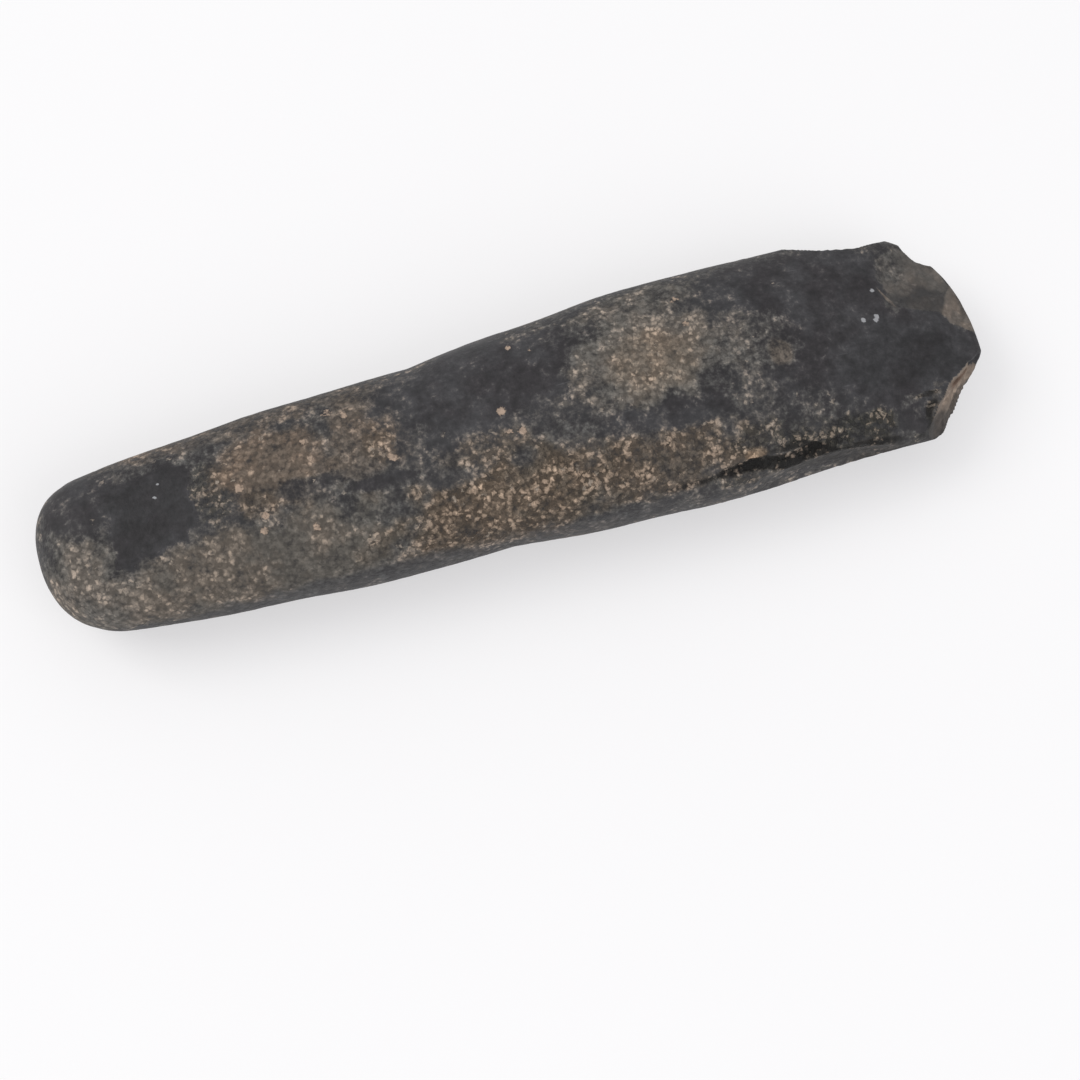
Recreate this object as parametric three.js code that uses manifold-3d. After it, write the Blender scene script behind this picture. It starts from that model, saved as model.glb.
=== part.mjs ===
// A long ground-stone axe head, lying on its belly, one solid piece of dark stone.
// Millimetres, +Z up, +X towards the cutting edge, +Y towards the far long side.
// The origin is on the resting plane, under the middle of the bounding box.
import * as THREE from "three";
import { ParametricGeometry } from "three/addons/geometries/ParametricGeometry.js";
import { mergeVertices } from "three/addons/utils/BufferGeometryUtils.js";
import Module from "manifold-3d";

// Overall sizes.
const LENGTH = 260;
const BUTT_WIDTH = 40.6;
const WAIST_WIDTH = 54.3;
const BLADE_WIDTH = 63.4;
const BUTT_THICKNESS = 29;
const BODY_THICKNESS = 38;
const EDGE_THICKNESS = 1.6;

// The two long sides. Each widens from the butt to the waist and then, after a slight kink, from the
// waist to the broad blade, at these shares of the length. The sways move the waist and the blade out or
// in. Both ends are rounded off in plan over these depths, more bluntly the higher the power.
const FAR_SIDE = {
  sign: 1,
  waistEnd: 0.335,
  kink: 0.415,
  bladeEnd: 0.7,
  waistSway: -1.2,
  bladeSway: 0.4,
  buttDepth: 15.5,
  arcDepth: 31,
  arcPower: 2.15,
};
const NEAR_SIDE = {
  sign: -1,
  waistEnd: 0.42,
  kink: 0.47,
  bladeEnd: 0.69,
  waistSway: 0.8,
  bladeSway: 0,
  buttDepth: 19,
  arcDepth: 19,
  arcPower: 2.3,
};
const BUTT_POWER = 2.3;
const BUTT_FLARE = 0.04;

// The foremost points of the butt and of the cutting edge lie off the middle line by these distances.
const BUTT_TIP_OFFSET = 2.2;
const EDGE_TIP_OFFSET = -6;

// Side view: the length of the rounded crown of the butt, the share of the length at which the body is
// thickest, and the length of the wedge ground down to the cutting edge.
const BUTT_CROWN = 17;
const THICKEST = 0.47;
const WEDGE_LENGTH = 112;

// Section and surface.
const FACE_SQUARENESS = 2.5;
const BELLY_SQUARENESS = 2.2;
const HAND_GRINDING = 0.35;
const REST_GRIND = 0.8;

// Mesh density.
const RINGS = 66;
const RING_POINTS = 44;
const SCAR_FACETS = 32;

// Flake scars, each bitten out by an ellipsoid. Its place is a distance back from the cutting edge and
// an angle round the section: 0 is the far side, 90 the crown of the face, 180 the near side and 270
// the belly. Its half-sizes run along, across and into the stone, it sinks in by its depth, and its
// turns, in degrees, are about the surface's normal, about its own length and about its own breadth.
const SCARS = [
  { name: "far corner flake", back: 28.6, round: 6, half: [15.9, 10, 5.4], depth: 5.8, turns: [0, 0, 0] },
  { name: "far edge flake", back: 8.2, round: 10, half: [7.1, 6, 4.8], depth: 1.9, turns: [0, 0, 0] },
  { name: "far face scar", back: 8.3, round: 53, half: [16.5, 18.4, 4.7], depth: 1.5, turns: [17, 1, -8] },
  { name: "edge nick", back: 2, round: 68, half: [8.6, 10, 3], depth: 1, turns: [0, 0, 0] },
  { name: "near corner break", back: 7, round: 176, half: [30, 13, 10], depth: 6.4, turns: [0, -35, 0] },
  { name: "near face scar", back: 21, round: 137, half: [6, 5, 3], depth: 1.2, turns: [-30, 0, 0] },
  { name: "near side groove", back: 69, round: 152, half: [31, 2.7, 3.2], depth: 1.9, turns: [2, 0, 0] },
  { name: "near side hollow", back: 52, round: 176, half: [26, 14, 6], depth: 2.4, turns: [0, 0, 0] },
  { name: "belly scar", back: 12, round: 300, half: [13, 12, 4], depth: 1.8, turns: [20, 0, 0] },
];

const { degToRad, lerp, clamp } = THREE.MathUtils;

// A quarter superellipse: 0 at the very end, 1 once the distance from it reaches the depth.
function roundedEnd(distance, depth, power) {
  const inside = 1 - clamp(distance / depth, 0, 1);
  return (1 - inside ** power) ** (1 / power);
}

// Growth from 0 to 1 between two places, quick at first and then ever slower.
function easeOut(s, start, end, power) {
  return 1 - (1 - clamp((s - start) / (end - start), 0, 1)) ** power;
}

// Distance of one long side from the middle line, without the rounded ends.
function halfWidth(s, { waistEnd, kink, bladeEnd, waistSway, bladeSway }) {
  const toWaist = easeOut(s, LENGTH * BUTT_FLARE, LENGTH * waistEnd, 2.2);
  const toBlade = easeOut(s, LENGTH * kink, LENGTH * bladeEnd, 2);
  const body = lerp(BUTT_WIDTH / 2, WAIST_WIDTH / 2 + waistSway, toWaist);
  return lerp(body, BLADE_WIDTH / 2 + bladeSway, toBlade);
}

// One edge of the outline at a distance s from the butt.
function outlineEdge(s, side) {
  const butt = roundedEnd(s, side.buttDepth, BUTT_POWER);
  const arc = roundedEnd(LENGTH - s, side.arcDepth, side.arcPower);
  const tip = s < LENGTH / 2 ? BUTT_TIP_OFFSET : EDGE_TIP_OFFSET;
  return lerp(tip, side.sign * halfWidth(s, side), butt * arc);
}

// Half the thickness at a distance s from the butt: it swells to the thickest place, then the ground
// wedge falls away to the cutting edge as a parabola.
function halfThickness(s) {
  const toEdge = LENGTH - s;
  const swell = THREE.MathUtils.smoothstep(s, 0, LENGTH * THICKEST);
  const body = lerp(BUTT_THICKNESS, BODY_THICKNESS, swell) / 2;
  const wedge = easeOut(toEdge, 0, WEDGE_LENGTH, 2);
  const ends = roundedEnd(s, BUTT_CROWN, 2.1) * roundedEnd(toEdge, EDGE_THICKNESS, 2);
  return (body * wedge + EDGE_THICKNESS / 2) * ends;
}

// Long shallow waves left by grinding by hand, worked out from the place along and round the body.
function unevenness(s, angle) {
  const along = (2 * Math.PI * s) / LENGTH;
  return (
    HAND_GRINDING *
    (0.5 * Math.sin(3 * along + 2 * angle) +
      0.3 * Math.sin(5 * along - 3 * angle + 1) +
      0.2 * Math.sin(8 * along + 1.5 + angle))
  );
}

// A cosine or sine, flattened so that the section becomes a superellipse.
function squared(value, squareness) {
  return Math.sign(value) * Math.abs(value) ** (2 / squareness);
}

// One point of the unbroken axe: a ring across the length at s, with a superellipse as its section,
// squarer on the face than on the belly. The middle of the section lies at height 0.
function bodyPoint(s, angle) {
  const far = outlineEdge(s, FAR_SIDE);
  const near = outlineEdge(s, NEAR_SIDE);
  const squareness = angle < Math.PI ? FACE_SQUARENESS : BELLY_SQUARENESS;
  const swell = 1 + unevenness(s, angle) / (BODY_THICKNESS / 2);
  const across = squared(Math.cos(angle), squareness) * swell;
  const up = squared(Math.sin(angle), squareness) * swell;
  return new THREE.Vector3(
    s - LENGTH / 2,
    (far + near) / 2 + ((far - near) / 2) * across,
    halfThickness(s) * up,
  );
}

const wasm = await Module();
wasm.setup();

// A closed three.js geometry as a solid, without the triangles that its poles collapse.
function solidOf(geometry) {
  const bare = geometry.clone();
  bare.deleteAttribute("normal");
  bare.deleteAttribute("uv");
  const merged = mergeVertices(bare, 1e-4);
  const index = merged.index.array;
  const kept = [];
  for (let i = 0; i < index.length; i += 3) {
    const [a, b, c] = index.slice(i, i + 3);
    if (a !== b && b !== c && c !== a) kept.push(a, b, c);
  }
  const vertProperties = merged.attributes.position.array;
  return new wasm.Manifold(new wasm.Mesh({ numProp: 3, vertProperties, triVerts: new Uint32Array(kept) }));
}

// The solid's triangles as a flat-shaded three.js geometry.
function geometryOf(solid) {
  const mesh = solid.getMesh();
  const shared = new THREE.BufferGeometry();
  shared.setAttribute("position", new THREE.BufferAttribute(mesh.vertProperties, mesh.numProp));
  shared.setIndex(new THREE.BufferAttribute(mesh.triVerts, 1));
  const geometry = shared.toNonIndexed();
  geometry.computeVertexNormals();
  return geometry;
}

// The axe before any damage. Cosine spacing sets the rings close together at both ends.
function unbrokenBody() {
  const surface = (v, u, target) =>
    target.copy(bodyPoint((LENGTH * (1 - Math.cos(Math.PI * u))) / 2, 2 * Math.PI * v));
  return solidOf(new ParametricGeometry(surface, RING_POINTS, RINGS));
}

// A frame on the unbroken surface: x runs along the axe, z points out of the stone.
function surfaceFrame(s, angle) {
  const place = bodyPoint(s, angle);
  const along = bodyPoint(s + 0.5, angle).sub(bodyPoint(s - 0.5, angle));
  const around = bodyPoint(s, angle + 0.02).sub(bodyPoint(s, angle - 0.02));
  const out = new THREE.Vector3().crossVectors(around, along).normalize();
  along.normalize();
  const across = new THREE.Vector3().crossVectors(out, along);
  return new THREE.Matrix4().makeBasis(along, across, out).setPosition(place);
}

// The ellipsoid that a flake scar is bitten out with.
function scarTool({ back, round, half, depth, turns }) {
  const [aboutNormal, aboutLength, aboutBreadth] = turns.map(degToRad);
  const turn = new THREE.Matrix4().makeRotationFromEuler(
    new THREE.Euler(aboutLength, aboutBreadth, aboutNormal, "ZYX"),
  );
  const placed = surfaceFrame(LENGTH - back, degToRad(round))
    .multiply(turn)
    .multiply(new THREE.Matrix4().makeTranslation(0, 0, half[2] - depth))
    .scale(new THREE.Vector3(...half));
  return solidOf(new THREE.SphereGeometry(1, SCAR_FACETS, SCAR_FACETS / 2).applyMatrix4(placed));
}

// Everything below the resting plane, which is ground a little way into the belly.
function restBlock() {
  const top = REST_GRIND - BODY_THICKNESS / 2;
  const block = new THREE.BoxGeometry(2 * LENGTH, 4 * BLADE_WIDTH, BODY_THICKNESS);
  return solidOf(block.translate(0, 0, top - BODY_THICKNESS / 2));
}

function axeGeometry() {
  let axe = unbrokenBody();
  for (const scar of SCARS) axe = axe.subtract(scarTool(scar));
  axe = axe.subtract(restBlock());
  const geometry = geometryOf(axe);
  geometry.computeBoundingBox();
  const { min, max } = geometry.boundingBox;
  return geometry.translate(-(min.x + max.x) / 2, -(min.y + max.y) / 2, -min.z);
}

const stone = new THREE.MeshStandardMaterial({ color: 0x47433f, roughness: 0.62, metalness: 0 });

const axe = new THREE.Mesh(axeGeometry(), stone);
axe.name = "stone_axe";

const group = new THREE.Group();
group.add(axe);

export default group;
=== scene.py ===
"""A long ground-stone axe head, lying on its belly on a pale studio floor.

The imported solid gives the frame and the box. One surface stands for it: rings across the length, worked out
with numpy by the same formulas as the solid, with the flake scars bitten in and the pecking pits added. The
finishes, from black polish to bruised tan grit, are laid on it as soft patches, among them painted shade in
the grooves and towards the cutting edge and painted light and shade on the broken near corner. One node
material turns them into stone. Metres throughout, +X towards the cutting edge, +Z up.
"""

import math

import bpy
import numpy as np
from mathutils import Euler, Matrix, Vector


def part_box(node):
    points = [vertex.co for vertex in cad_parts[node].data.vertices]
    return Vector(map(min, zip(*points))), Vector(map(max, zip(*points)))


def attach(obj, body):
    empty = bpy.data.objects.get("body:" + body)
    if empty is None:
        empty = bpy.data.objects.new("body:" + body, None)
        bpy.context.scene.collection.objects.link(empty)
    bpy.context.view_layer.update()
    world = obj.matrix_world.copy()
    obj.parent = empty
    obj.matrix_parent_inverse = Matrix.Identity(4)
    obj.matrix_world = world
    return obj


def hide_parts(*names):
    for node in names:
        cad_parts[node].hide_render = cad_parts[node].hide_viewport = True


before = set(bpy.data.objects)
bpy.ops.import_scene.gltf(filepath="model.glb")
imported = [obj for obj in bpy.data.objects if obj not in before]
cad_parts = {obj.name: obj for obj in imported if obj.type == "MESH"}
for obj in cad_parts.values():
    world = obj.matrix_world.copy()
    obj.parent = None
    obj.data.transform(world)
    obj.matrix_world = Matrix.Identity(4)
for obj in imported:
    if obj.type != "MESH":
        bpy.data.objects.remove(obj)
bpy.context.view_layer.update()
AXE_LOW, AXE_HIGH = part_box("stone_axe")

bl_info = {
    "name": "Ground Stone Axe Head",
    "version": (1, 0, 0),
    "blender": (4, 5, 0),
    "location": "View3D > Sidebar > Stone Axe",
    "description": "Builds a ground-stone axe head and the studio it is shown in",
    "category": "Object",
}

MM = 0.001

# The two long sides, and how each end is rounded off in plan, as on the solid.
FAR_SIDE = {
    "sign": 1,
    "waist_end": 0.335,
    "kink": 0.415,
    "blade_end": 0.7,
    "waist_sway": -1.2 * MM,
    "blade_sway": 0.4 * MM,
    "butt_depth": 15.5 * MM,
    "arc_depth": 31 * MM,
    "arc_power": 2.15,
}
NEAR_SIDE = {
    "sign": -1,
    "waist_end": 0.42,
    "kink": 0.47,
    "blade_end": 0.69,
    "waist_sway": 0.8 * MM,
    "blade_sway": 0,
    "butt_depth": 19 * MM,
    "arc_depth": 19 * MM,
    "arc_power": 2.3,
}
BUTT_POWER = 2.3
BUTT_FLARE = 0.04
BUTT_TIP_OFFSET = 2.2 * MM
EDGE_TIP_OFFSET = -6 * MM
THICKEST = 0.47
CROWN_POWER = 2.1
FACE_SQUARENESS = 2.5
BELLY_SQUARENESS = 2.2

# Flake scars. Each is bitten out by a rounded tool, placed as on the solid: its distance back from the
# cutting edge, its angle round the section, half-sizes along, across and into the stone, the depth that it
# sinks in, and its turns about the normal, its length and its breadth. A squareness of 2 is an ellipsoid,
# nearer 1 it has straight facets. The wobble is a share of its size that its outline wanders by.
SCARS = [
    {"name": "far corner flake", "back": 28.6, "round": 6, "half": (15.9, 10, 5.4), "depth": 5.8,
     "turns": (0, 0, 0), "squareness": 2, "wobble": 0.05, "finish": "fracture"},
    {"name": "far edge flake", "back": 8.2, "round": 10, "half": (7.1, 6, 4.8), "depth": 1.9,
     "turns": (0, 0, 0), "squareness": 2, "wobble": 0.05, "finish": "fracture"},
    {"name": "far face scar", "back": 8.3, "round": 53, "half": (16.5, 18.4, 4.7), "depth": 1.5,
     "turns": (17, 1, -8), "squareness": 2, "wobble": 0.09, "finish": "fracture", "stain": (0.1, 1.3)},
    {"name": "edge nick", "back": 2, "round": 68, "half": (11, 13.5, 3), "depth": 1,
     "turns": (0, 0, 0), "squareness": 1.4, "wobble": 0.02, "finish": "fracture", "stain": (0.02, 0.2)},
    # The break's pale finish is partly its own colour and partly a painted highlight along its inner edge.
    {"name": "near corner break", "back": 7, "round": 176, "half": (30, 13, 10), "depth": 6.4,
     "turns": (0, -35, 0), "squareness": 2, "wobble": 0.05, "finish": "fresh"},
    {"name": "near face scar", "back": 21, "round": 137, "half": (6, 5, 3), "depth": 1.2,
     "turns": (-30, 0, 0), "squareness": 2, "wobble": 0.25, "finish": "hollow"},
    # The groove and its foot are darkened with painted shade as well as bitten in.
    {"name": "near side groove", "back": 69, "round": 152, "half": (31, 2.7, 3.2), "depth": 1.9,
     "turns": (2, 0, 0), "squareness": 2, "wobble": 0.22, "finish": "crevice_shade", "stain": (0.6, 1.6)},
    {"name": "groove foot", "back": 60.5, "round": 158, "half": (10, 4, 2.4), "depth": 0.9,
     "turns": (-4, 0, 0), "squareness": 2, "wobble": 0.25, "finish": "crevice_shade", "stain": (0.1, 0.7)},
    {"name": "near side hollow", "back": 52, "round": 176, "half": (26, 14, 6), "depth": 2.4,
     "turns": (0, 0, 0), "squareness": 2, "wobble": 0.04, "finish": None},
    {"name": "belly scar", "back": 12, "round": 300, "half": (13, 12, 4), "depth": 1.8,
     "turns": (20, 0, 0), "squareness": 2, "wobble": 0.09, "finish": "fracture"},
]

# Grid density. Rings stand closer over the blade, where the scars are, and points closer on the face.
RINGS = 440
FACE_POINTS = 134
BELLY_POINTS = 88
BLADE_ZONE = 60 * MM
BLADE_DENSITY = 1.8
TABLE_STEPS = 4000

# Biting: how often the way out of a tool is halved, the most that one scar takes of the way to the middle,
# and the depth that the broken near corner needs.
BISECTIONS = 24
MOST_OF_THE_WAY = 0.92
DEEPEST_BREAK = 13 * MM

# Noise: the lattice's size, and for each use the size of its largest waves and its seed.
NOISE_SIZE = 48
WOBBLE_SIZE = 5 * MM
RAGGED_SIZE, RAGGED_SEED = 6 * MM, 70
GRAIN_SIZE, GRAIN_SEED = 2.2 * MM, 40
PIT_SEED = 5

# Softness of a patch's edge where none is given, as a share of its size.
USUAL_SOFTNESS = 0.3


def length_of():
    """Length of the axe, which the frame gives."""
    return AXE_HIGH.x - AXE_LOW.x


def smooth(value, low, high):
    """0 below low, 1 above high, and an eased step between them."""
    t = np.clip((value - low) / (high - low), 0, 1)
    return t * t * (3 - 2 * t)


def lerp(a, b, t):
    return a + (b - a) * t


def rounded_end(distance, depth, power):
    """A quarter superellipse: 0 at the very end, 1 once the distance from it reaches the depth."""
    inside = 1 - np.clip(distance / depth, 0, 1)
    return (1 - inside**power) ** (1 / power)


def ease_out(s, start, end, power):
    """Growth from 0 to 1 between two places, quick at first and then ever slower."""
    return 1 - (1 - np.clip((s - start) / (end - start), 0, 1)) ** power


def outline_edge(shape, s, side):
    """One edge of the outline at a distance s from the butt: butt, waist, blade, rounded at both ends."""
    length = length_of()
    to_waist = ease_out(s, length * BUTT_FLARE, length * side["waist_end"], 2.2)
    to_blade = ease_out(s, length * side["kink"], length * side["blade_end"], 2)
    body = lerp(shape.butt_width / 2, shape.waist_width / 2 + side["waist_sway"], to_waist)
    half_width = lerp(body, shape.blade_width / 2 + side["blade_sway"], to_blade)
    butt = rounded_end(s, side["butt_depth"], BUTT_POWER)
    arc = rounded_end(length - s, side["arc_depth"], side["arc_power"])
    tip = np.where(s < length / 2, BUTT_TIP_OFFSET, EDGE_TIP_OFFSET)
    return lerp(tip, side["sign"] * half_width, butt * arc)


def half_thickness(shape, s):
    """Half the thickness: it swells to the thickest place, then falls to the cutting edge as a parabola."""
    to_edge = length_of() - s
    swell = smooth(s, 0, length_of() * THICKEST)
    body = lerp(shape.butt_thickness, shape.body_thickness, swell) / 2
    wedge = ease_out(to_edge, 0, shape.wedge_length, 2)
    ends = rounded_end(s, shape.butt_crown, CROWN_POWER) * rounded_end(to_edge, shape.edge_thickness, 2)
    return (body * wedge + shape.edge_thickness / 2) * ends


def body_points(shape, s, angle):
    """The unbroken axe: a superellipse across the length at s, squarer above than below, swollen a little
    by long shallow waves. The angle is 0 on the far side and a quarter turn on the crown of the face."""
    far = outline_edge(shape, s, FAR_SIDE)
    near = outline_edge(shape, s, NEAR_SIDE)
    along = 2 * math.pi * s / length_of()
    waves = (0.5 * np.sin(3 * along + 2 * angle) + 0.3 * np.sin(5 * along - 3 * angle + 1)
             + 0.2 * np.sin(8 * along + 1.5 + angle))
    swell = 1 + shape.hand_grinding * waves / (shape.body_thickness / 2)
    power = np.where(np.sin(angle) >= 0, 2 / FACE_SQUARENESS, 2 / BELLY_SQUARENESS)
    across = np.sign(np.cos(angle)) * np.abs(np.cos(angle)) ** power * swell
    up = np.sign(np.sin(angle)) * np.abs(np.sin(angle)) ** power * swell
    y = (far + near) / 2 + (far - near) / 2 * across
    z = half_thickness(shape, s) * up
    return np.stack(np.broadcast_arrays(s - length_of() / 2, y, z), -1)


def ring_places(shape):
    """Distances from the butt at which the rings stand: even steps along the outline, finer on the blade."""
    u = np.linspace(0, 1, TABLE_STEPS)
    s = length_of() * (1 - np.cos(math.pi * u)) / 2
    half_width = (outline_edge(shape, s, FAR_SIDE) - outline_edge(shape, s, NEAR_SIDE)) / 2
    step = np.hypot(np.diff(s), np.diff(half_width))
    step *= np.where(s[1:] > length_of() - BLADE_ZONE, BLADE_DENSITY, 1)
    travelled = np.concatenate([[0], np.cumsum(step)])
    return np.interp(np.linspace(0, travelled[-1], RINGS + 2)[1:-1], travelled, s)


def point_angles(shape):
    """Angles round the section at even steps of the thickest ring's own length, more on the face."""
    angles = []
    for start, points in ((0, FACE_POINTS), (math.pi, BELLY_POINTS)):
        fine = start + np.linspace(0, math.pi, TABLE_STEPS)
        ring = body_points(shape, length_of() * THICKEST, fine)
        travelled = np.concatenate([[0], np.cumsum(np.linalg.norm(np.diff(ring, axis=0), axis=1))])
        angles.append(np.interp(np.linspace(0, travelled[-1], points + 1)[:-1], travelled, fine))
    return np.concatenate(angles)


def lattice_noise(points, cell, seed):
    """Smooth noise from -1 to 1: random values on a cubic lattice, blended by an eased step."""
    table = np.random.default_rng(seed).uniform(-1, 1, (NOISE_SIZE,) * 3)
    q = points / cell
    base = np.floor(q).astype(int)
    t = q - base
    t = t * t * (3 - 2 * t)
    total = np.zeros(points.shape[:-1])
    for corner in np.ndindex(2, 2, 2):
        weight = np.prod(np.where(corner, t, 1 - t), axis=-1)
        i, j, k = np.moveaxis((base + corner) % NOISE_SIZE, -1, 0)
        total += weight * table[i, j, k]
    return total


def layered_noise(points, cell, seed, layers=3):
    """Noise with finer and weaker noise laid over it, each layer half the size and half the strength."""
    return sum(lattice_noise(points, cell / 2**n, seed + n) / 2**n for n in range(layers))


def nearest_pit(points, cell, seed):
    """Distance, in cells, to the nearest of one random centre per lattice cell, and that centre's chance."""
    random = np.random.default_rng(seed).uniform(0, 1, (NOISE_SIZE,) * 3 + (4,))
    q = points / cell
    base = np.floor(q).astype(int)
    nearest = np.full(points.shape[:-1], 9.0)
    chance = np.zeros(points.shape[:-1])
    for shift in np.ndindex(3, 3, 3):
        cube = base + shift - 1
        i, j, k = np.moveaxis(cube % NOISE_SIZE, -1, 0)
        centre = cube + random[i, j, k, :3]
        distance = np.linalg.norm(q - centre, axis=-1)
        chance = np.where(distance < nearest, random[i, j, k, 3], chance)
        nearest = np.minimum(nearest, distance)
    return nearest, chance


def surface_frame(shape, s, angle):
    """A place on the unbroken surface and, as columns, the directions along it, across it and out of it."""
    place = body_points(shape, s, angle)
    along = body_points(shape, s + 0.5 * MM, angle) - body_points(shape, s - 0.5 * MM, angle)
    around = body_points(shape, s, angle + 0.02) - body_points(shape, s, angle - 0.02)
    out = np.cross(around, along)
    out /= np.linalg.norm(out)
    along /= np.linalg.norm(along)
    return place, np.column_stack([along, np.cross(out, along), out])


def inward_rays(shape, s, points):
    """For each point the unit direction to the middle of the stone, and the distance there. The middle of a
    ring is a line across it that stops short of each side by the ring's half thickness, or by the depth
    that a broken corner needs."""
    far = outline_edge(shape, s, FAR_SIDE)
    near = outline_edge(shape, s, NEAR_SIDE)
    middle, half_width = (far + near) / 2, (far - near) / 2
    reach = np.maximum(half_width - np.maximum(half_thickness(shape, s), DEEPEST_BREAK), 0)
    target = np.stack([points[..., 0], middle + np.clip(points[..., 1] - middle, -reach, reach),
                       np.zeros_like(middle)], -1)
    ray = target - points
    distance = np.linalg.norm(ray, axis=-1)
    return ray / np.maximum(distance, 1e-9)[..., None], distance


def bite(shape, scar, points, rays, room, seed):
    """How far each point is pushed in by one scar: from where it is, along its ray, to where it leaves the
    rounded tool. Bisection finds the way out, and the tool's size wanders by smooth noise."""
    place, basis = surface_frame(shape, length_of() - scar["back"] * MM, math.radians(scar["round"]))
    about_normal, about_length, about_breadth = (math.radians(turn) for turn in scar["turns"])
    turn = np.array(Euler((about_length, about_breadth, about_normal), "XYZ").to_matrix())
    half = np.array(scar["half"]) * MM
    axes = basis @ turn
    centre = place + axes @ np.array([0, 0, half[2] - scar["depth"] * MM])
    start = ((points - centre) @ axes) / half
    step = (rays @ axes) / half
    size = 1 + scar["wobble"] * layered_noise(points, WOBBLE_SIZE, seed)
    power = scar["squareness"]

    def outside(travel):
        q = np.abs(start + step * travel[..., None])
        return np.sum(q**power, axis=-1) ** (1 / power) > size

    low = np.zeros_like(room)
    high = MOST_OF_THE_WAY * room
    for _ in range(BISECTIONS):
        middle = (low + high) / 2
        out = outside(middle)
        high = np.where(out, middle, high)
        low = np.where(out, low, middle)
    return np.where(outside(np.zeros_like(room)), 0, low)


# Finishes. The polish is dark everywhere; where it is worn or pecked through, the tone of the finish shows.
# Wear is the share that is worn through, and below zero it darkens the polish. Grit is the contrast of the
# grains, and flecks is how many pale grains there are.
FINISHES = {
    "ground": {"tone": "ground_tone", "wear": 0.45, "grit": 0.65, "flecks": 0.12},
    "black": {"tone": "ground_tone", "wear": -0.12, "grit": 0.5, "flecks": -0.03},
    "deep black": {"tone": "ground_tone", "wear": -0.5, "grit": 0.5, "flecks": 0.0},
    "blue black": {"tone": "ground_tone", "wear": 0.0, "grit": 0.6, "flecks": 0.05},
    "pecked": {"tone": "pecked_tone", "wear": 1.1, "grit": 0.6, "flecks": 0.25},
    "pale grit": {"tone": "pale_grit_tone", "wear": 1.15, "grit": 0.65, "flecks": 0.35},
    "speckle": {"tone": "speckle_tone", "wear": 0.75, "grit": 1.4, "flecks": 0.5},
    "field": {"tone": "field_tone", "wear": 1.1, "grit": 0.5, "flecks": 0.15},
    "patina": {"tone": "patina_tone", "wear": 1.05, "grit": 0.6, "flecks": 0.3},
    "grit": {"tone": "grit_tone", "wear": 1.1, "grit": 0.95, "flecks": 0.8},
    "strip": {"tone": "strip_tone", "wear": 0.7, "grit": 0.35, "flecks": 0.02},
    "lip": {"tone": "lip_tone", "wear": 0.9, "grit": 0.5, "flecks": 0.08},
    "fracture": {"tone": "fracture_tone", "wear": 1.2, "grit": 0.22, "flecks": 0.0},
    "dark fracture": {"tone": "dark_fracture_tone", "wear": 1.2, "grit": 0.15, "flecks": 0.0},
    "fresh": {"tone": "fresh_tone", "wear": 1.6, "grit": 0.2, "flecks": 0.0},
    "lit edge": {"tone": "fresh_tone", "wear": 1.0, "grit": 0.3, "flecks": 0.0},
    "lump": {"tone": "lump_tone", "wear": 1.3, "grit": 0.8, "flecks": 0.6},
    "pink fracture": {"tone": "pink_tone", "wear": 1.6, "grit": 0.2, "flecks": 0.0},
    "hollow": {"tone": "ground_tone", "wear": 0.1, "grit": 0.5, "flecks": 0.0},
    # Painted shade: the near-black laid in grooves, undercut hollows and shadow lines.
    "crevice_shade": {"tone": "crevice_shade_tone", "wear": 1.2, "grit": 0.9, "flecks": 0.05},
}

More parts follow.
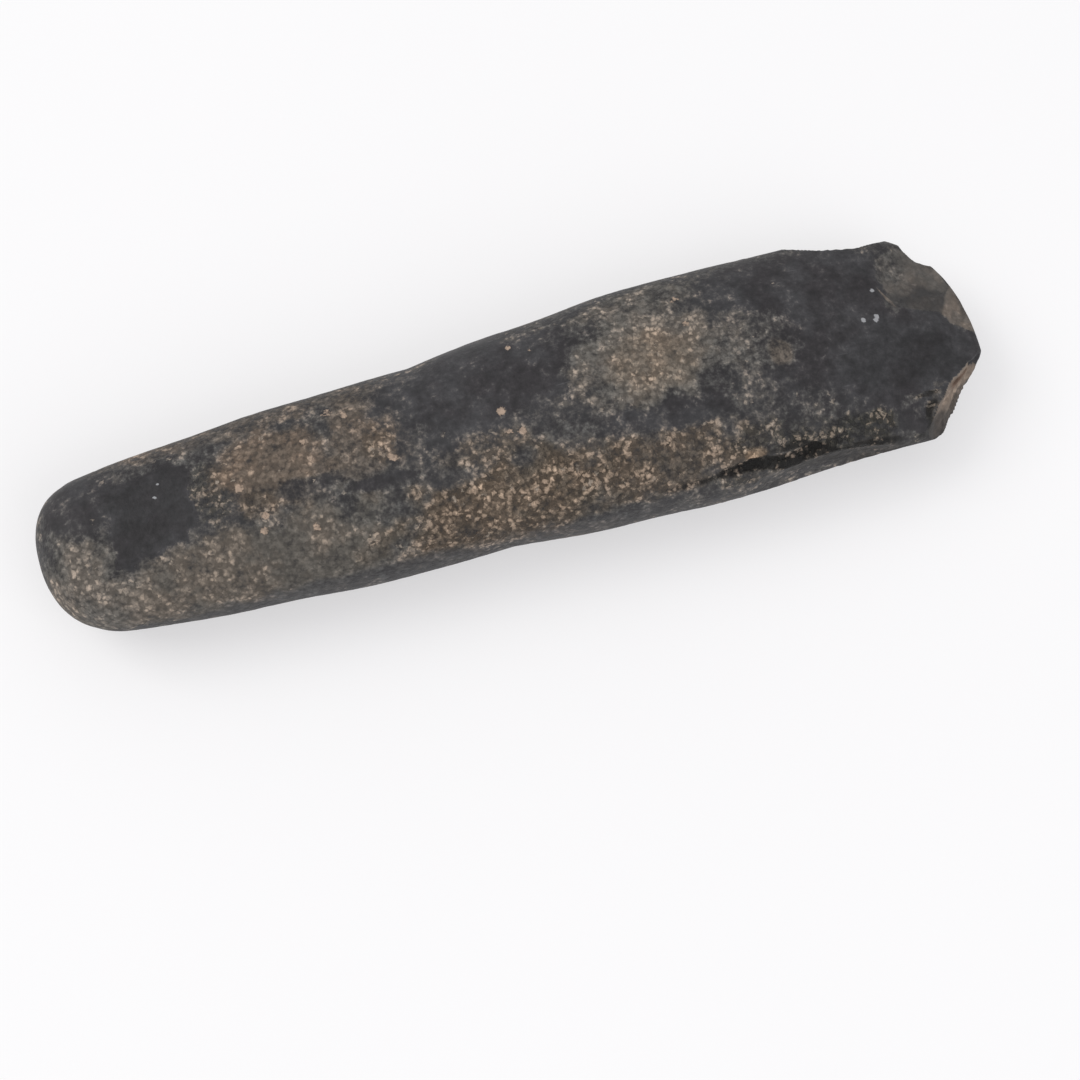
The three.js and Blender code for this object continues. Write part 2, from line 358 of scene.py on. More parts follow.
# Soft patches of finish on the unbroken surface, laid on in this order. Each has its place, the distance
# from the butt and the distance round the section from the crown of the face, towards the far side where
# positive, then its half-sizes, its turn in degrees and its strength, all in millimetres but those two.
PATCHES = [
    ("lower left field", "field", 56, -20.7, 44, 13, 0, 0.9),
    ("butt end speckle", "pecked", 11, -16, 13, 18, 0, 0.8),
    ("butt shoulder", "blue black", 15, 10.5, 10, 9.3, 0, 0.8),
    ("round the black patch", "deep black", 33.5, 1.8, 11, 9.8, 0, 0.5),
    ("speckle past the black patch", "speckle", 49, 2.5, 5.5, 9, 0, 0.6),
    ("brown patch", "patina", 67, 5.6, 14.5, 10.6, 0, 0.95),
    ("brown patch foot", "grit", 60, -4, 6, 4, 20, 0.6),
    ("brown patch tail", "patina", 91, 6.1, 11, 12.8, 0, 0.65),
    ("brown tail heart", "grit", 94, 3.5, 5, 5, 0, 0.5),
    ("dark streak left", "blue black", 73, -2.5, 9, 2.5, 0, 0.55),
    ("dark streak right", "blue black", 93, -6.4, 8, 1.8, 0, 0.9),
    ("far rim", "patina", 59, 22.3, 41, 4.9, 0, 0.45),
    ("grit middle", "grit", 123, -23.9, 33, 12.6, 0, 0.9),
    ("grit heart", "grit", 123, -20.6, 9, 6.7, 0, 1.0),
    ("grit heart, pale part", "pale grit", 123, -20.6, 8, 6.2, 0, 0.3),
    ("grit right", "grit", 161, -22.5, 28, 9.8, 0, 0.75),
    ("grit top", "grit", 121, -6.5, 12, 4.5, 0, 0.5),
    ("dark waist lower", "blue black", 112, -2.0, 24, 5.5, 0, 0.15),
    ("dark waist", "black", 125, 13.1, 26, 14.3, 0, 0.85),
    ("pale patch top", "pecked", 171, 24.1, 18, 5.9, 0, 0.6),
    ("dark band", "blue black", 170, -10.2, 18, 5.1, 0, 0.75),
    ("dark shoulder", "blue black", 210, 20.2, 22, 10.2, 0, 0.8),
    ("polished blade", "black", 229, 2.1, 29, 23.8, 0, 0.85),
    ("polished blade low", "deep black", 234, -11.0, 19, 9.4, 0, 0.6),
    # Painted shade: darker towards the cutting edge, where the wedge slopes away from the light.
    ("blade end, painted shade", "deep black", 251, -8, 12, 10, 0, 0.7),
    ("pale patch", "pecked", 169, 7.1, 19.5, 13.5, 0, 0.95),
    ("pale patch heart", "pale grit", 169, 4.5, 13, 8.5, 0, 0.9),
    ("pale tail", "pecked", 196, 3.6, 15, 8.6, 0, 0.35),
    ("brown spot", "patina", 204, -0.7, 3, 3.9, 0, 0.6),
    ("speckle band", "speckle", 216, -26.2, 14, 4.6, 0, 0.95),
    ("speckle beside the groove", "speckle", 196, -22.5, 13, 4, 0, 0.5),
    ("knob", "black", 236.5, -25.8, 5, 5, 0, 0.9),
    ("tan lump", "lump", 189.6, -27.2, 2.7, 1.8, 15, 1),
    ("small tan lump", "lump", 201.1, -30.4, 1.7, 1.1, 0, 0.9),
    ("near strip left", "strip", 75, -35.0, 47, 5.8, 0, 0.8),
    ("near strip middle", "strip", 145, -38.6, 22, 5.1, 0, 0.8),
    ("near lip", "lip", 218, -35.8, 23, 5.0, 0, 0.8),
    ("lip speckle", "speckle", 183, -34, 6, 1.6, 0, 0.6),
    # The crack and the notch above it are dark lines of painted shade along the groove.
    ("crack", "crevice_shade", 200, -31.2, 34, 1.2, 0, 0.95),
    ("notch above the crack", "crevice_shade", 199.5, -27, 6, 1.1, 3, 0.9),
]

# Patches laid on over the scars, given in the same way and then with the softness of their edges.
SCAR_PATCHES = [
    ("far face scar, low part", "dark fracture", 249, 8.8, 9, 5, 12, 0.85, 0.35),
    ("far face scar, pale rim", "fresh", 256.3, 20.5, 1.6, 2.4, 0, 0.3, 0.3),
    ("far face scar, left border", "ground", 242, 22, 4, 8, 0, 0.6, 0.4),
    ("far face scar, hinge", "lit edge", 238.0, 9.4, 3.2, 0.45, -60, 0.8, 0.2),
    ("far corner cap", "fracture", 248, 31, 6, 3.2, -20, 0.5, 0.4),
    # The near corner's patches also paint light and shade across the broken facet: paler along its inner
    # edge, darker towards its outline, over its own pink and grey-brown.
    ("near corner, pink part", "pink fracture", 250.8, -18.5, 3.2, 4, 0, 0.9, 0.3),
    ("near corner, lower end", "dark fracture", 240.5, -33, 3.6, 5, 0, 0.8, 0.3),
    ("near corner, dark end", "black", 258.8, -12, 4, 9.5, 0, 1, 0.15),
    ("near corner, outer part", "lip", 248, -37, 7.5, 3.6, 0, 0.7, 0.3),
    ("near corner, inner shadow", "crevice_shade", 240.4, -24.3, 5.2, 1.2, 63, 0.85, 0.3),
    ("near corner ledge", "fracture", 244.6, -16.3, 2.4, 1.0, 20, 0.45, 0.2),
    ("near corner shadow line", "crevice_shade", 240.2, -19.6, 4.8, 0.8, 17, 0.85, 0.3),
]

# Straight-edged areas laid on last: a finish, its strength, the corners of a convex outline in the order
# that keeps the area on the left hand, as places on the surface, and how far its edges wander.
FACETS = [
    ("black patch", "deep black", 0.75,
     ((22, -9), (32, -8.4), (44.8, 0), (45.2, 14), (24, 13)), 3.6),
    ("below the far face scar", "black", 0.9,
     ((240.5, 6.7), (239.5, 0), (253, -2), (252.2, 5.4), (245.4, 6.2)), 0.3),
    ("edge nick", "fracture", 0.95,
     ((251.9, 4.8), (258.3, 0.4), (262, 0), (262, 15.2), (257.5, 15.2)), 0.3),
    ("edge nick, upper facet", "fresh", 0.35,
     ((251.9, 4.8), (254.4, 3.6), (259, 14), (257.5, 15.2)), 0.3),
    ("edge nick, lower tip", "fresh", 0.4,
     ((256.4, 1.8), (258.3, 0.4), (261, 0), (260, 5), (258, 4.6)), 0.3),
]

# Single tan spots on the face: distance from the butt, distance round from the crown, and radius.
TAN_SPOTS = [
    (56.0, 1.9, 1.3), (61.1, -7.1, 1.1), (59.8, -11.0, 1.0), (73.4, -13.8, 1.1), (83.5, 16.9, 1.3),
    (87.4, 14.4, 1.1), (96.9, -1.1, 1.4), (75.5, 9.9, 1.0), (134.6, 20.3, 1.0), (140.0, 17.2, 0.6),
    (127.2, 2.2, 1.3), (131.2, -4.9, 1.1), (128.2, -3.9, 0.8), (181.2, 21.1, 1.1), (181.7, 12.7, 0.9),
]

# White chips, given in the same way.
WHITE_CHIPS = [(35.9, 9.5, 0.5), (34.6, 6.0, 0.5), (234.9, 11.6, 0.7), (233.6, 3.7, 0.8), (233.0, 2.6, 0.7),
               (229.6, 3.1, 0.8)]


def lay_finishes(stone, points, s, around, scar_depths):
    """At each point the worn stone's tone and the amounts of wear, grit, flecks, spots and chips: the
    ground finish, then the soft ragged patches, the scars wherever they bite, the patches on the scars and
    the straight-edged areas. A patch fades out by the distance from its middle, as a share of its
    half-sizes, and an area by the distance inside the nearest of its edges."""

    def values(name):
        finish = FINISHES[name]
        return np.array([*getattr(stone, finish["tone"]), finish["wear"], finish["grit"],
                         finish["flecks"]])

    ragged = layered_noise(points, RAGGED_SIZE, RAGGED_SEED, 4)
    layers = np.broadcast_to(values("ground"), points.shape[:-1] + (6,)).copy()

    def lay(layers, patches):
        for name, finish, along, round_, half_along, half_round, turn, strength, *softness in patches:
            soft = softness[0] if softness else USUAL_SOFTNESS
            ds, dw = s - along * MM, around - round_ * MM
            c, n = math.cos(math.radians(turn)), math.sin(math.radians(turn))
            far_off = np.hypot((ds * c + dw * n) / (half_along * MM), (dw * c - ds * n) / (half_round * MM))
            mask = strength * (1 - smooth(far_off + soft * ragged, 1 - soft, 1 + soft))
            layers = lerp(layers, values(finish), mask[..., None])
        return layers

    layers = lay(layers, PATCHES)
    for scar, depth in zip(SCARS, scar_depths):
        if scar["finish"]:
            shallow, deep = scar.get("stain", (0.02, 0.3))
            mask = smooth(depth, shallow * MM, deep * MM)
            layers = lerp(layers, values(scar["finish"]), mask[..., None])
    layers = lay(layers, SCAR_PATCHES)
    for name, finish, strength, corners, wander in FACETS:
        inside = np.full(points.shape[:-1], np.inf)
        for (s0, w0), (s1, w1) in zip(corners, corners[1:] + corners[:1]):
            across = (around / MM - w0) * (s1 - s0) - (s / MM - s0) * (w1 - w0)
            inside = np.minimum(inside, across / math.hypot(s1 - s0, w1 - w0))
        mask = strength * smooth(inside + wander * ragged, -0.25, 0.35)
        layers = lerp(layers, values(finish), mask[..., None])

    def dots(places):
        total = np.zeros(points.shape[:-1])
        for along, round_, radius in places:
            far_off = np.hypot(s - along * MM, around - round_ * MM) / (radius * MM)
            total = np.maximum(total, 1 - smooth(far_off, 0.3, 1.5))
        return total[..., None]

    return np.concatenate([layers, dots(TAN_SPOTS), dots(WHITE_CHIPS)], axis=-1)


def axe_surface(shape, relief, stone):
    """The whole stone as a grid of rings: unbroken body, then bites, then pits and grain. Returns the points
    and the layers of finish, which are laid by the distances along and round the unbroken body."""
    s = ring_places(shape)[:, None]
    angle = point_angles(shape)[None, :]
    points = body_points(shape, s, angle)
    s = np.broadcast_to(s, points.shape[:-1])
    crown = int(np.argmin(np.abs(angle - math.pi / 2)))
    steps = np.linalg.norm(np.diff(points, axis=1), axis=2)
    travelled = np.concatenate([np.zeros((len(points), 1)), np.cumsum(steps, axis=1)], axis=1)
    girth = travelled[:, -1:] + np.linalg.norm(points[:, 0] - points[:, -1], axis=1)[:, None]
    around = travelled[:, crown:crown + 1] - travelled
    around = (around + girth / 2) % girth - girth / 2

    unbroken = points.copy()
    rays, room = inward_rays(shape, s, points)
    depths = []
    for number, scar in enumerate(SCARS):
        depth = bite(shape, scar, points, rays, room, 10 * number)
        points = points + rays * depth[..., None]
        room = room - depth
        depths.append(depth)

    layers = lay_finishes(stone, unbroken, s, around, depths)
    pecking = np.clip(layers[..., 3], 0, 1) * layers[..., 4]
    near_pit, chance = nearest_pit(unbroken, relief.pit_spacing, PIT_SEED)
    pits = relief.pit_depth * pecking * chance * (1 - smooth(near_pit, 0, 0.75))
    roughness = 0.5 + 0.5 * layered_noise(unbroken, GRAIN_SIZE, GRAIN_SEED)
    grain = relief.grain_depth * (0.25 + pecking) * roughness
    points = points + rays * np.minimum(pits + grain, 0.3 * room)[..., None]
    return points, layers


def closed_grid(rings, points):
    """Faces of a grid closed round each ring, with one more point at each end, faces pointing out."""
    first = np.arange(rings * points).reshape(rings, points)
    nxt = np.roll(first, -1, axis=1)
    quads = np.stack([first[:-1], nxt[:-1], nxt[1:], first[1:]], -1).reshape(-1, 4)
    butt, edge = rings * points, rings * points + 1
    start_fan = np.stack([np.full(points, butt), nxt[0], first[0]], -1)
    end_fan = np.stack([np.full(points, edge), first[-1], nxt[-1]], -1)
    return quads, np.concatenate([start_fan, end_fan])


def make_piece(name, points, quads, triangles):
    """A mesh object from arrays of corners and faces."""
    mesh = bpy.data.meshes.new(name)
    mesh.vertices.add(len(points))
    mesh.vertices.foreach_set("co", points.astype(np.float32).ravel())
    corners = np.concatenate([quads.ravel(), triangles.ravel()])
    sizes = np.concatenate([np.full(len(quads), 4), np.full(len(triangles), 3)])
    mesh.loops.add(len(corners))
    mesh.loops.foreach_set("vertex_index", corners.astype(np.int32))
    mesh.polygons.add(len(sizes))
    mesh.polygons.foreach_set("loop_start", (np.cumsum(sizes) - sizes).astype(np.int32))
    mesh.polygons.foreach_set("use_smooth", np.ones(len(sizes), bool))
    mesh.update(calc_edges=True)
    mesh.validate()
    piece = bpy.data.objects.new(name, mesh)
    bpy.context.scene.collection.objects.link(piece)
    return piece


def fit_to_solid(points):
    """The points stretched, by a hair, so that their box is the solid's own."""
    low, high = points.min(0), points.max(0)
    target_low, target_high = np.array(AXE_LOW), np.array(AXE_HIGH)
    return target_low + (points - low) * (target_high - target_low) / (high - low)


class Value:
    """A node socket that can be added, subtracted, multiplied and so on, each adding a Math node."""

    def __init__(self, shading, socket):
        self.shading = shading
        self.socket = socket

    def math(self, operation, a, b=0.0):
        node = self.shading.node("ShaderNodeMath", {"operation": operation}, {0: a, 1: b})
        return Value(self.shading, node.outputs[0])

    def __add__(self, other):
        return self.math("ADD", self, other)

    def __radd__(self, other):
        return self.math("ADD", other, self)

    def __sub__(self, other):
        return self.math("SUBTRACT", self, other)

    def __rsub__(self, other):
        return self.math("SUBTRACT", other, self)

    def __mul__(self, other):
        return self.math("MULTIPLY", self, other)

    def __rmul__(self, other):
        return self.math("MULTIPLY", other, self)

    def exponent(self):
        return self.math("EXPONENT", self)

    def below(self, other):
        return self.math("LESS_THAN", self, other)

    def step(self, low, high, start=0.0, end=1.0):
        """An eased step from one value to another between low and high."""
        node = self.shading.node(
            "ShaderNodeMapRange", {"interpolation_type": "SMOOTHSTEP"},
            {"Value": self, "From Min": low, "From Max": high, "To Min": start, "To Max": end})
        return Value(self.shading, node.outputs["Result"])


class Shading:
    """The nodes of one material."""

    def __init__(self, name):
        self.material = bpy.data.materials.new(name)
        self.material.use_nodes = True
        self.tree = self.material.node_tree
        self.tree.nodes.clear()

    def node(self, kind, settings=None, sockets=None):
        """Adds a node: its settings first, then the values or links of its sockets."""
        node = self.tree.nodes.new(kind)
        for name, value in (settings or {}).items():
            setattr(node, name, value)
        for key, value in (sockets or {}).items():
            source = value.socket if isinstance(value, Value) else value
            if isinstance(source, bpy.types.NodeSocket):
                self.tree.links.new(source, node.inputs[key])
            else:
                node.inputs[key].default_value = source
        return node

    def noise(self, place, scale, detail=2.0, roughness=0.5):
        node = self.node("ShaderNodeTexNoise", {"noise_dimensions": "3D"},
                         {"Vector": place, "Scale": scale, "Detail": detail, "Roughness": roughness})
        return Value(self, node.outputs["Fac"])

    def cells(self, place, scale):
        """Distance to the nearest of scattered centres, and that centre's own random number."""
        node = self.node("ShaderNodeTexVoronoi", {"feature": "F1"}, {"Vector": place, "Scale": scale})
        parts = self.node("ShaderNodeSeparateColor", None, {"Color": node.outputs["Color"]})
        return Value(self, node.outputs["Distance"]), Value(self, parts.outputs[0])

    def amount(self, name):
        node = self.node("ShaderNodeAttribute", {"attribute_name": name})
        return Value(self, node.outputs["Fac"])

    def blend(self, factor, a, b, kind="MIX"):
        """Two colours mixed, or combined in another way, by a factor."""
        node = self.node("ShaderNodeMix", {"data_type": "RGBA", "blend_type": kind},
                         {0: factor, 6: a, 7: b})
        return node.outputs[2]

    def scaled(self, colour, amount):
        """A colour or vector times a number."""
        node = self.node("ShaderNodeVectorMath", {"operation": "SCALE"}, {0: colour, "Scale": amount})
        return node.outputs[0]

    def finish(self, surface):
        self.node("ShaderNodeOutputMaterial", None, {"Surface": surface})
        return self.material


# The middle of the noises, where all their layers line up, is kept well away from the stone.
NOISE_SHIFT = (0.17, 0.43, 0.61)

# Tints that the worn stone is multiplied by.
COOLER = (0.99, 1.01, 1.0, 1)
WARMER = (1.06, 1.0, 0.93, 1)


def stone_material(stone):
    """Dark fine-grained stone. Everywhere lies a dark polish, between black and blue-black. Fractal noise
    against the wear from the mesh decides where it is worn through. There the worn tone shows, tinted a
    little warmer and cooler by turns, lighter on its grains and darker in the gaps between them. Pale
    flecks are strewn in clusters, and tan spots and white chips lie where the mesh has them."""
    shading = Shading("ground stone")
    here = shading.node("ShaderNodeTexCoord").outputs["Object"]
    place = shading.node("ShaderNodeVectorMath", {"operation": "ADD"}, {0: here, 1: NOISE_SHIFT}).outputs[0]
    tone = shading.node("ShaderNodeAttribute", {"attribute_name": "tone"}).outputs["Color"]
    wear = shading.amount("wear")
    grit = shading.amount("grit")
    flecks = shading.amount("flecks")
    spots = shading.amount("spots")
    chips = shading.amount("chips")

    drift = shading.node("ShaderNodeTexNoise", None, {"Vector": place, "Scale": 800.0, "Detail": 1.0})
    wander = shading.node("ShaderNodeVectorMath", {"operation": "MULTIPLY_ADD"},
                          {0: drift.outputs["Color"], 1: (0.0018,) * 3, 2: place}).outputs[0]
    clouds = shading.noise(place, 60.0, 4.0, 0.6) - 0.5
    ragged = shading.noise(place, 150.0, 5.0, 0.7) - 0.5
    mottle = shading.noise(place, 340.0, 3.0, 0.6) - 0.5
    grain = shading.noise(place, 760.0, 3.0, 0.65) - 0.5
    near_grain, crystal = shading.cells(wander, 640.0)
    near_fleck, fleck_chance = shading.cells(wander, 480.0)
    lumps = near_grain.step(0.7, 0.15) * crystal
    gaps = near_grain.step(0.4, 0.75)
    slanted = shading.node("ShaderNodeMapping", None, {
        "Vector": place, "Rotation": (0.0, 0.0, 0.9), "Scale": (60.0, 1700.0, 300.0)}).outputs["Vector"]
    hairlines = shading.noise(slanted, 1.0, 1.0).step(0.7, 0.8) * clouds.step(-0.02, 0.08)

    cluster = (ragged + 0.5 * clouds).step(-0.06, 0.12)
    worn = (wear + 1.3 * ragged + 1.4 * mottle + 1.5 * grain).step(0.1, 1.0)
    strewn = 1.2 * ((0.25 + 1.4 * cluster) * lumps - 0.22)
    light = (grit * (2.5 * grain + 2.2 * mottle + strewn - 0.7 * (gaps - 0.25) + 1.4 * ragged)
             + 0.5 * ragged + 0.7 * clouds)
    tint = shading.blend((clouds + 0.6 * ragged).step(-0.12, 0.12), COOLER, WARMER)
    worn_base = shading.blend(1.0, shading.scaled(tone, light.exponent()), tint, "MULTIPLY")
    warm = (light * (0.4 + flecks)).step(0.1, 0.7)
    worn_base = shading.blend(0.4 * warm, worn_base, (*stone.fleck_tone, 1))
    polish = shading.blend(clouds.step(-0.1, 0.1), (*stone.black_tone, 1), (*stone.blue_black_tone, 1))
    polish_light = 1.6 * mottle + 1.2 * grain + 1.7 * ragged + 0.8 * hairlines + wear.step(0, -0.6, 0, -0.6)
    polish = shading.scaled(polish, polish_light.exponent())
    base = shading.blend(worn, polish, worn_base)

    fleck = ((near_fleck - 1.2 * grain).step(0.42, 0.2)
             * fleck_chance.below(flecks * (0.08 + 0.6 * cluster)))
    base = shading.blend(fleck * (0.12 + 0.7 * crystal * crystal), base, (*stone.speck_tone, 1))
    spot = (spots + 2.2 * grain + 1.6 * mottle).step(0.35, 0.7) * spots.step(0.0, 0.3)
    base = shading.blend(spot * (0.7 + 2.4 * grain), base, (*stone.fleck_tone, 1))
    chip = (chips + 1.2 * grain).step(0.4, 0.7)
    base = shading.blend(chip, base, (*stone.chip_tone, 1))

    height = worn * (grit * light - 0.4) + 0.4 * mottle + 0.2 * grain + 0.4 * fleck + 0.5 * spot
    bump = shading.node("ShaderNodeBump", None, {"Strength": 0.8, "Distance": 0.0006, "Height": height})
    roughness = 0.56 + 0.18 * worn + 0.3 * mottle
    shader = shading.node("ShaderNodeBsdfPrincipled", None, {
        "Base Color": base,
        "Roughness": roughness,
        "Specular IOR Level": 0.3,
        "Normal": bump.outputs["Normal"],
    })
    return shading.finish(shader.outputs["BSDF"])


def floor_material(studio):
    """A matt pale floor that glows a little by itself, painted light as if lit from beneath, so that shadows
    on it stay faint.
    """
    shading = Shading("pale floor")
    place = shading.node("ShaderNodeTexCoord").outputs["Object"]
    clouds = shading.noise(place, 6.0, 3.0)
    base = shading.blend(clouds, (*studio.floor_tone, 1), (*(0.97 * part for part in studio.floor_tone), 1))
    shader = shading.node("ShaderNodeBsdfPrincipled", None, {
        "Base Color": base,
        "Roughness": 0.7,
        "Specular IOR Level": 0.1,
        "Emission Color": (*studio.glow_tone, 1),
        "Emission Strength": studio.floor_glow,
    })
    return shading.finish(shader.outputs["BSDF"])


class AxeShape(bpy.types.PropertyGroup):
    """Driving sizes of the axe head. Its length comes from the frame."""

    butt_width: bpy.props.FloatProperty(
        name="Butt width", description="Width just past the rounded butt", default=40.6 * MM,
        min=0.01, unit="LENGTH")
    waist_width: bpy.props.FloatProperty(
        name="Waist width", description="Width at the waist", default=54.3 * MM, min=0.01, unit="LENGTH")
    blade_width: bpy.props.FloatProperty(
        name="Blade width", description="Width of the broad blade", default=63.4 * MM,
        min=0.01, unit="LENGTH")
    butt_thickness: bpy.props.FloatProperty(
        name="Butt thickness", description="Thickness at the butt", default=29 * MM,
        min=0.005, unit="LENGTH")
    body_thickness: bpy.props.FloatProperty(
        name="Body thickness", description="Thickness at the thickest place", default=38 * MM,
        min=0.005, unit="LENGTH")
    edge_thickness: bpy.props.FloatProperty(
        name="Edge thickness", description="Thickness of the worn cutting edge", default=1.6 * MM,
        min=0.0002, unit="LENGTH")
    butt_crown: bpy.props.FloatProperty(
        name="Butt crown", description="Length of the butt's rounded crown", default=17 * MM,
        min=0.001, unit="LENGTH")
    wedge_length: bpy.props.FloatProperty(
        name="Wedge length", description="Length of the wedge ground down to the edge", default=112 * MM,
        min=0.01, unit="LENGTH")
    hand_grinding: bpy.props.FloatProperty(
        name="Hand grinding", description="Height of the long shallow waves", default=0.35 * MM,
        min=0, unit="LENGTH")
    rest_grind: bpy.props.FloatProperty(
        name="Resting flat", description="Depth ground off the belly", default=0.8 * MM,
        min=0, unit="LENGTH")


class AxeRelief(bpy.types.PropertyGroup):
    """Fine relief of the surface."""

    pit_spacing: bpy.props.FloatProperty(
        name="Pit spacing", description="Distance between pecking pits", default=2.6 * MM,
        min=0.0005, unit="LENGTH")
    pit_depth: bpy.props.FloatProperty(
        name="Pit depth", description="Depth of the deepest pecking pits", default=0.3 * MM,
        min=0, unit="LENGTH")
    grain_depth: bpy.props.FloatProperty(
        name="Grain depth", description="Height of the roughness between the pits", default=0.14 * MM,
        min=0, unit="LENGTH")


def tone(name, description, default):
    return bpy.props.FloatVectorProperty(
        name=name, description=description, default=default, min=0, max=1, size=3, subtype="COLOR")


class StoneFinish(bpy.types.PropertyGroup):
    """Colours of the stone's finishes."""

    ground_tone: tone("Ground", "Ground stone where its polish is worn", (0.1, 0.095, 0.09))
    black_tone: tone("Black polish", "Polished, almost black stone", (0.029, 0.026, 0.028))
    blue_black_tone: tone("Blue-black", "Dark stone with a cold cast", (0.043, 0.0415, 0.044))
    pecked_tone: tone("Pecked", "Pale grey pecked stone", (0.14, 0.126, 0.113))
    speckle_tone: tone("Speckle", "Grey-green grains along the groove", (0.066, 0.062, 0.053))
    patina_tone: tone("Patina", "Brown weathered stone", (0.155, 0.118, 0.092))
    grit_tone: tone("Grit", "Bruised stone between tan grains", (0.125, 0.096, 0.072))
    field_tone: tone("Pecked field", "Grey-brown, evenly pecked stone", (0.116, 0.101, 0.087))
    strip_tone: tone("Near strip", "Smooth grey strip along the near side", (0.07, 0.068, 0.07))
    lip_tone: tone("Lip", "Worn lip below the groove", (0.042, 0.038, 0.037))
    fracture_tone: tone("Fracture", "Old grey-brown flake scars", (0.096, 0.087, 0.081))
    dark_fracture_tone: tone("Dark fracture", "Dark, smooth parts of flake scars", (0.039, 0.037, 0.038))
    pale_grit_tone: tone("Pale grit", "Cream-grey bruised stone", (0.178, 0.146, 0.118))
    pink_tone: tone("Pink fracture", "Reddish part of the corner break", (0.155, 0.11, 0.088))
    fresh_tone: tone("Fresh fracture", "Pale flake scars along the edge", (0.185, 0.153, 0.13))
    lump_tone: tone("Lumps", "Tan lumps beside the groove", (0.26, 0.19, 0.135))
    # Painted shade for the grooves, undercut hollows and shadow lines.
    crevice_shade_tone: tone("Crevice shade", "Deep grooves and undercut hollows", (0.016, 0.015, 0.014))
    fleck_tone: tone("Flecks", "Tan grains", (0.42, 0.31, 0.235))
    chip_tone: tone("Chips", "White chips", (0.3, 0.3, 0.31))
    speck_tone: tone("Specks", "Small pale grains", (0.36, 0.3, 0.245))


class StudioSet(bpy.types.PropertyGroup):
    """Floor, lights and camera."""

    floor_tone: tone("Floor", "Colour of the pale floor", (0.5, 0.5, 0.5))
    # The floor's glow is painted light: the floor itself gives it off, with no lamp beneath, so that shadows
    # on it stay faint.
    glow_tone: tone("Floor glow colour", "Colour of the light from beneath", (1.0, 0.98, 0.99))
    floor_glow: bpy.props.FloatProperty(
        name="Floor glow", description="Strength of the light from beneath", default=0.45, min=0)
    floor_size: bpy.props.FloatProperty(
        name="Floor size", description="Side of the floor", default=8.0, min=1, unit="LENGTH")
    sky_strength: bpy.props.FloatProperty(
        name="Surrounding light", description="Strength of the even light all round", default=0.7, min=0)
    key_power: bpy.props.FloatProperty(
        name="Key light", description="Power of the large soft light", default=38.0, min=0, unit="POWER")
    fill_power: bpy.props.FloatProperty(
        name="Fill light", description="Power of the weaker light opposite", default=20.0, min=0,
        unit="POWER")
    lens: bpy.props.FloatProperty(
        name="Lens", description="Focal length of the camera", default=85.0, min=10, unit="CAMERA")
    azimuth: bpy.props.FloatProperty(
        name="Azimuth", description="Turn of the camera away from looking along +Y",
        default=math.radians(16.45), subtype="ANGLE")
    elevation: bpy.props.FloatProperty(
        name="Elevation", description="Height of the camera above the horizon",
        default=math.radians(72), subtype="ANGLE")
    distance: bpy.props.FloatProperty(
        name="Distance", description="Distance from the camera to its target", default=686.4 * MM,
        min=0.1, unit="LENGTH")
    target: bpy.props.FloatVectorProperty(
        name="Target", description="Point that the camera looks at",
        default=(-0.19 * MM, -26.77 * MM, 10.64 * MM), size=3, subtype="TRANSLATION", unit="LENGTH")


def add_light(name, place, size, power, colour):
    """A square soft light that faces the object."""
    lamp = bpy.data.lights.new(name, "AREA")
    lamp.shape = "SQUARE"
    lamp.size = size
    lamp.energy = power
    lamp.color = colour
    light = bpy.data.objects.new(name, lamp)
    light.location = place
    light.rotation_mode = "QUATERNION"
    light.rotation_quaternion = (-Vector(place)).to_track_quat("-Z", "Y")
    bpy.context.scene.collection.objects.link(light)


class STONEAXE_OT_make_head(bpy.types.Operator):
    """Make the stone axe head and its material"""

    bl_idname = "stone_axe.make_head"
    bl_label = "Make the axe head"

    def execute(self, context):
        scene = context.scene
        shape, relief, stone = scene.axe_shape, scene.axe_relief, scene.stone_finish
        points, layers = axe_surface(shape, relief, stone)
        rings, count = points.shape[:2]
        half = length_of() / 2
        ends = np.array([[-half, BUTT_TIP_OFFSET, 0], [half, EDGE_TIP_OFFSET, 0]])
        flat = np.concatenate([points.reshape(-1, 3), ends])
        rest_level = shape.rest_grind - shape.body_thickness / 2
        flat[:, 2] = np.maximum(flat[:, 2], rest_level)
        quads, triangles = closed_grid(rings, count)
        piece = make_piece("axe_head", fit_to_solid(flat), quads, triangles)

        layers = np.concatenate([layers.reshape(-1, layers.shape[-1]), layers[:1, 0], layers[-1:, 0]])
        tones = np.concatenate([layers[:, :3], np.ones((len(layers), 1))], axis=1)
        colour = piece.data.attributes.new("tone", "FLOAT_COLOR", "POINT")
        colour.data.foreach_set("color", tones.astype(np.float32).ravel())
        for number, name in enumerate(("wear", "grit", "flecks", "spots", "chips"), start=3):
            attribute = piece.data.attributes.new(name, "FLOAT", "POINT")
            attribute.data.foreach_set("value", layers[:, number].astype(np.float32))

        piece.data.materials.append(stone_material(stone))
        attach(piece, "root")
        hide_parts("stone_axe")
        return {"FINISHED"}


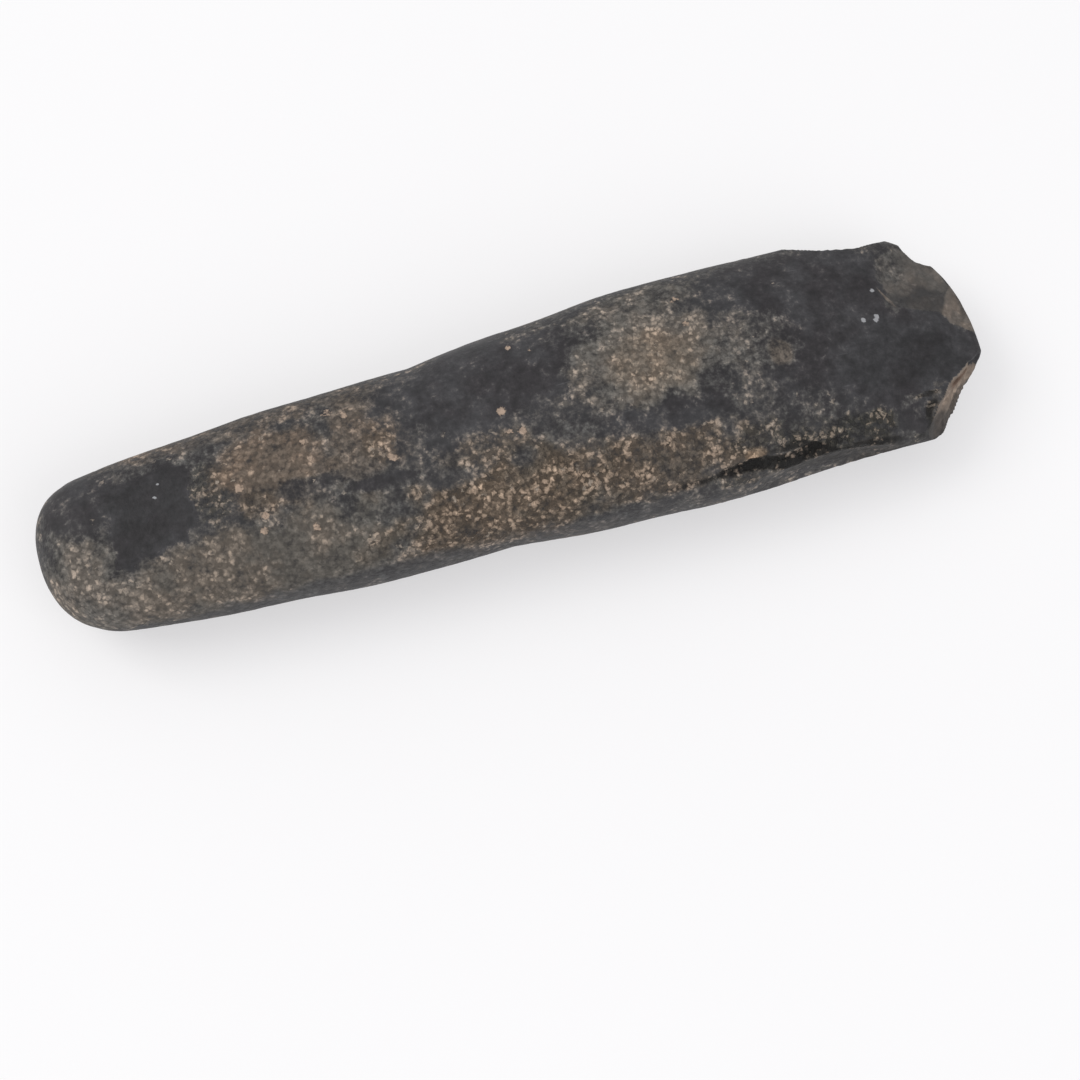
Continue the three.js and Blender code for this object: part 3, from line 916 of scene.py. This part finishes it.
class STONEAXE_OT_make_studio(bpy.types.Operator):
    """Make the floor, the lights and the camera"""

    bl_idname = "stone_axe.make_studio"
    bl_label = "Make the studio"

    def execute(self, context):
        studio = context.scene.studio_set
        half = studio.floor_size / 2
        corners = np.array([[-half, -half, 0], [half, -half, 0], [half, half, 0], [-half, half, 0]])
        floor = make_piece("floor", corners, np.array([[0, 1, 2, 3]]), np.zeros((0, 3), int))
        floor.data.materials.append(floor_material(studio))

        world = bpy.data.worlds.new("studio")
        world.use_nodes = True
        background = world.node_tree.nodes["Background"]
        background.inputs["Color"].default_value = (0.97, 0.98, 1.0, 1.0)
        background.inputs["Strength"].default_value = studio.sky_strength
        context.scene.world = world

        add_light("key", (-1.9, 1.1, 2.4), 2.0, studio.key_power, (1.0, 0.99, 0.97))
        add_light("fill", (0.9, -1.9, 1.9), 2.0, studio.fill_power, (0.97, 0.98, 1.0))

        camera = bpy.data.objects.new("camera", bpy.data.cameras.new("camera"))
        camera.data.lens = studio.lens
        camera.data.sensor_width = 36.0
        camera.data.clip_start = 0.01
        a, e = studio.azimuth, studio.elevation
        back = Vector((-math.sin(a) * math.cos(e), -math.cos(a) * math.cos(e), math.sin(e)))
        camera.location = Vector(studio.target) + back * studio.distance
        camera.rotation_mode = "QUATERNION"
        camera.rotation_quaternion = (-back).to_track_quat("-Z", "Y")
        context.scene.collection.objects.link(camera)
        context.scene.camera = camera
        context.scene.view_settings.view_transform = "Standard"
        return {"FINISHED"}


class STONEAXE_PT_panel(bpy.types.Panel):
    """Lists the operators and their sizes and colours"""

    bl_label = "Stone Axe"
    bl_idname = "STONEAXE_PT_panel"
    bl_space_type = "VIEW_3D"
    bl_region_type = "UI"
    bl_category = "Stone Axe"

    def draw(self, context):
        scene = context.scene
        rows = (
            ("stone_axe.make_head", (scene.axe_shape, scene.axe_relief, scene.stone_finish)),
            ("stone_axe.make_studio", (scene.studio_set,)),
        )
        for operator, groups in rows:
            box = self.layout.box()
            box.operator(operator)
            for group in groups:
                for name in group.__annotations__:
                    box.prop(group, name)


GROUPS = {"axe_shape": AxeShape, "axe_relief": AxeRelief, "stone_finish": StoneFinish,
          "studio_set": StudioSet}
OPERATORS = (STONEAXE_OT_make_head, STONEAXE_OT_make_studio)


def register():
    for kind in (*GROUPS.values(), *OPERATORS, STONEAXE_PT_panel):
        bpy.utils.register_class(kind)
    for name, kind in GROUPS.items():
        setattr(bpy.types.Scene, name, bpy.props.PointerProperty(type=kind))


def unregister():
    for name in GROUPS:
        delattr(bpy.types.Scene, name)
    for kind in (STONEAXE_PT_panel, *reversed(OPERATORS), *reversed(GROUPS.values())):
        bpy.utils.unregister_class(kind)


def main():
    register()
    bpy.ops.stone_axe.make_head()
    bpy.ops.stone_axe.make_studio()


if __name__ == "__main__":
    main()
